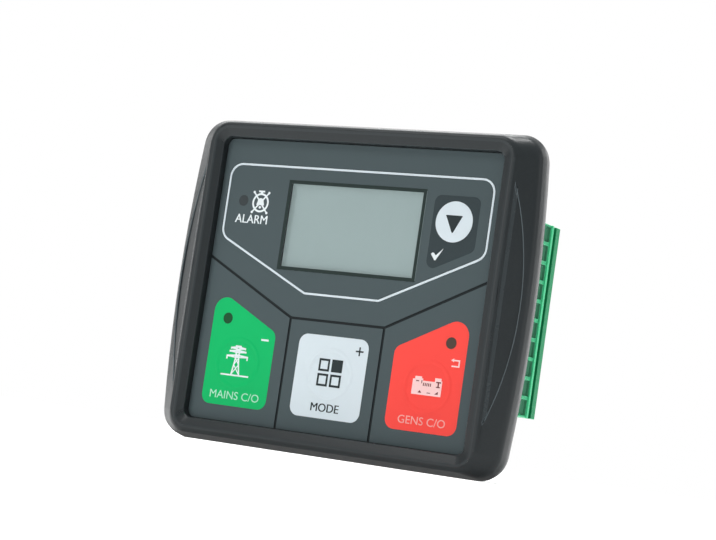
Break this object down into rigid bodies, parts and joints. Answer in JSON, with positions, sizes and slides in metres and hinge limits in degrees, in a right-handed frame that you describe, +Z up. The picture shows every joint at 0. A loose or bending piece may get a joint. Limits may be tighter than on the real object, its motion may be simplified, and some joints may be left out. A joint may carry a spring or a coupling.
{
  "type": "automatic transfer switch controller",
  "caption": "Panel-mounted transfer switch controller: bezel with membrane keypad and display, vented rear housing and pluggable screw terminals at both sides.",
  "frame": {"origin": "centre of the plane in which the back of the bezel meets the front of the panel", "axes": "+X to the right seen from the front, +Y from the front to the back through the panel, +Z up"},
  "size_m": [0.1058, 0.042, 0.0874],
  "materials": {
    "bezel_plastic": "fine matt grain",
    "film_grey": "satin film",
    "print_white": "satin film",
    "print_green": "satin film",
    "print_red": "satin film",
    "print_dark": "satin film",
    "window_clear": "clear",
    "lcd_cell": "satin",
    "inner_black": "moulded",
    "light_guide": "clear edge-lit sheet",
    "lamp_alarm": "diffused",
    "lamp_dark": "tinted",
    "plunger_plastic": "moulded",
    "board_green": "solder mask",
    "spacer_plastic": "moulded",
    "contact_metal": "tinned",
    "relay_blue": "moulded",
    "ferrite": "sintered",
    "coil_tape": "polyester tape",
    "capacitor_sleeve": "shrink sleeve",
    "housing_plastic": "fine matt grain",
    "gasket_rubber": "smooth",
    "screw_steel": "zinc plated",
    "header_green": "moulded",
    "plug_green": "moulded"
  },
  "bodies": {
    "controller": {"front_bezel": "bezel_plastic", "overlay_film": "film_grey", "display_outline": "print_white", "display_window": "window_clear", "lcd_glass": "lcd_cell", "lcd_frame": "inner_black", "backlight": "light_guide", "mains_key": "print_green", "mode_key": "print_white", "gens_key": "print_red", "scroll_key": "print_dark", "scroll_disc": "print_white", "alarm_led": "lamp_alarm", "mains_led": "lamp_dark", "gens_led": "lamp_dark", "mains_switch": "inner_black", "mode_switch": "inner_black", "gens_switch": "inner_black", "scroll_switch": "inner_black", "display_board": "board_green", "board_spacers": "spacer_plastic", "board_socket": "inner_black", "board_pins": "contact_metal", "main_board": "board_green", "relay_1": "relay_blue", "relay_2": "relay_blue", "relay_3": "relay_blue", "relay_4": "relay_blue", "transformer_core": "ferrite", "transformer_coil": "coil_tape", "capacitors": "capacitor_sleeve", "processor": "inner_black", "rear_housing": "housing_plastic", "panel_gasket": "gasket_rubber", "case_screws": "screw_steel", "right_header": "header_green", "right_header_pins": "contact_metal", "right_plug": "plug_green", "right_plug_cages": "screw_steel", "right_plug_screws": "screw_steel", "left_header": "header_green", "left_header_pins": "contact_metal", "left_plug": "plug_green", "left_plug_cages": "screw_steel", "left_plug_screws": "screw_steel"},
    "mains_button": {"mains_plunger": "plunger_plastic"},
    "mode_button": {"mode_plunger": "plunger_plastic"},
    "gens_button": {"gens_plunger": "plunger_plastic"},
    "scroll_button": {"scroll_plunger": "plunger_plastic"}
  },
  "joints": [
    {"name": "mains_press", "type": "slide", "parent": "controller", "child": "mains_button", "axis": [0, 1, 0], "range_m": [0, 0.0003], "stiffness_N_per_m": 300},
    {"name": "mode_press", "type": "slide", "parent": "controller", "child": "mode_button", "axis": [0, 1, 0], "range_m": [0, 0.0003], "stiffness_N_per_m": 300},
    {"name": "gens_press", "type": "slide", "parent": "controller", "child": "gens_button", "axis": [0, 1, 0], "range_m": [0, 0.0003], "stiffness_N_per_m": 300},
    {"name": "scroll_press", "type": "slide", "parent": "controller", "child": "scroll_button", "axis": [0, 1, 0], "range_m": [0, 0.0003], "stiffness_N_per_m": 300}
  ]
}
